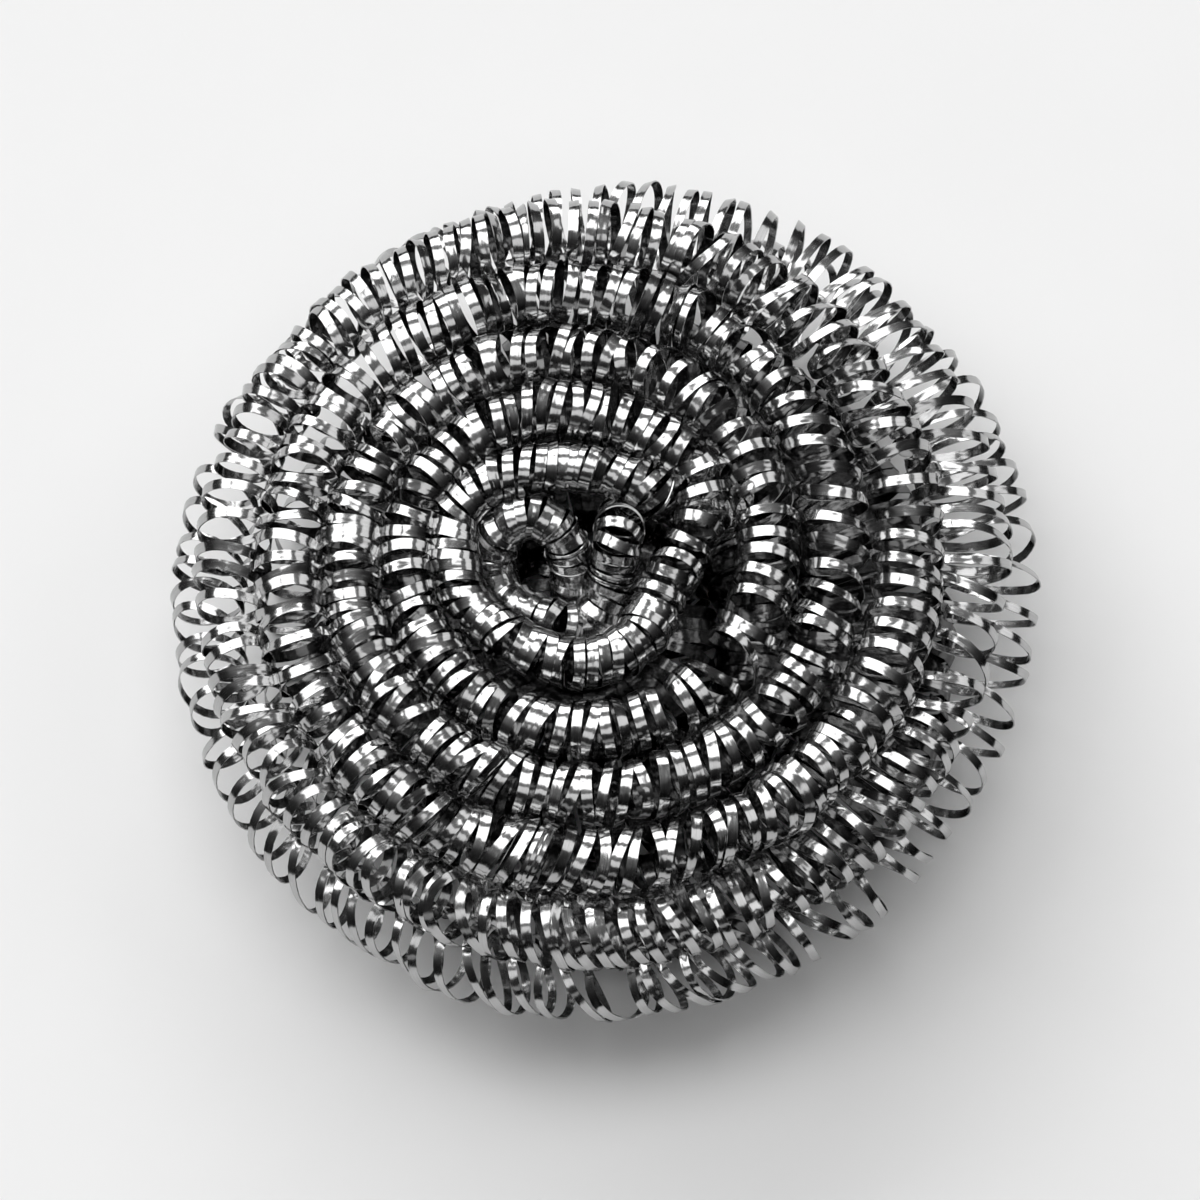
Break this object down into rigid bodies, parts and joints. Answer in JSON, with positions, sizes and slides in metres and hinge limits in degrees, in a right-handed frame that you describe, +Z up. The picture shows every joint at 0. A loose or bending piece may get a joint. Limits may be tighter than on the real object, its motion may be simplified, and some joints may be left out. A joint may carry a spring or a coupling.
{
  "type": "spiral scourer",
  "caption": "Round scourer of flat stainless steel ribbon, coiled into an open spring and wound in rings into a low bun with a small hollow on top, for scrubbing pans.",
  "frame": {"origin": "on the table, under the middle of the bun's outline", "axes": "+Z up, with the hollow on top; +X to the right and +Y away from the viewer in the picture"},
  "size_m": [0.0863, 0.0902, 0.0269],
  "materials": {
    "stainless_steel": "bright rolled stainless steel ribbon"
  },
  "bodies": {
    "root": {"coiled_ribbon": "stainless_steel"}
  },
  "joints": []
}
